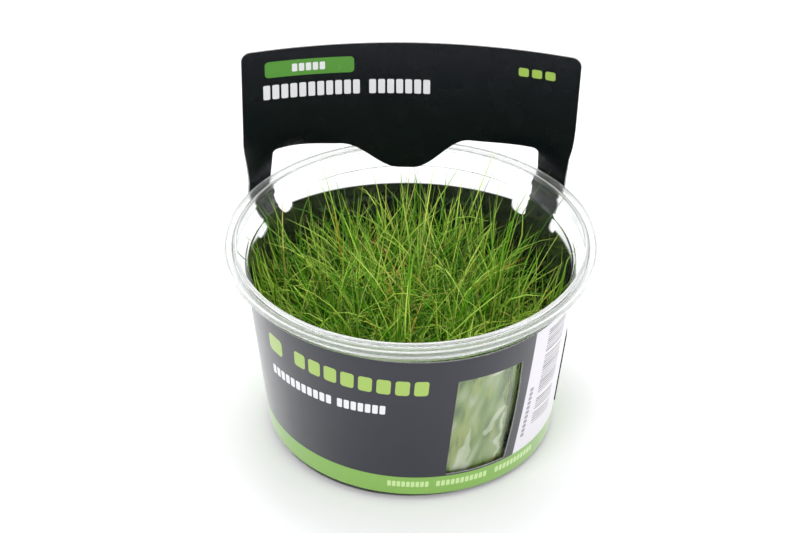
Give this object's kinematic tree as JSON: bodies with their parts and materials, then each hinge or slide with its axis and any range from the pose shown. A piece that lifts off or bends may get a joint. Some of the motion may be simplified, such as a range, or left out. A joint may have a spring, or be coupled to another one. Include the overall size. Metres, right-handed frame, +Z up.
{
  "type": "tissue culture cup of small spikerush",
  "caption": "Clear plastic culture cup of fine aquarium grass on gel, in a printed card sleeve with a tall header behind the rim.",
  "frame": {"origin": "middle of the cup's foot, on the surface that it stands on", "axes": "+Z up through the cup's mouth, -Y towards the front, so that the header stands at +Y behind the rim"},
  "size_m": [0.101, 0.101, 0.0986],
  "materials": {
    "clear_plastic": "clear, polished moulded plastic",
    "printed_card": "near-black print with a satin varnish",
    "gel": "wet, milky translucent gel",
    "grass": "fresh green, slightly waxy leaves"
  },
  "bodies": {
    "root": {"cup": "clear_plastic", "sleeve": "printed_card", "culture_gel": "gel", "tuft_01": "grass", "tuft_02": "grass", "tuft_03": "grass", "tuft_04": "grass", "tuft_05": "grass", "tuft_06": "grass", "tuft_07": "grass", "tuft_08": "grass", "tuft_09": "grass", "tuft_10": "grass", "tuft_11": "grass", "tuft_12": "grass", "tuft_13": "grass", "tuft_14": "grass", "tuft_15": "grass", "tuft_16": "grass", "tuft_17": "grass", "tuft_18": "grass", "tuft_19": "grass", "tuft_20": "grass", "tuft_21": "grass", "tuft_22": "grass", "tuft_23": "grass", "tuft_24": "grass", "tuft_25": "grass", "tuft_26": "grass", "tuft_27": "grass", "tuft_28": "grass", "tuft_29": "grass", "tuft_30": "grass", "tuft_31": "grass", "tuft_32": "grass", "tuft_33": "grass"}
  },
  "joints": []
}
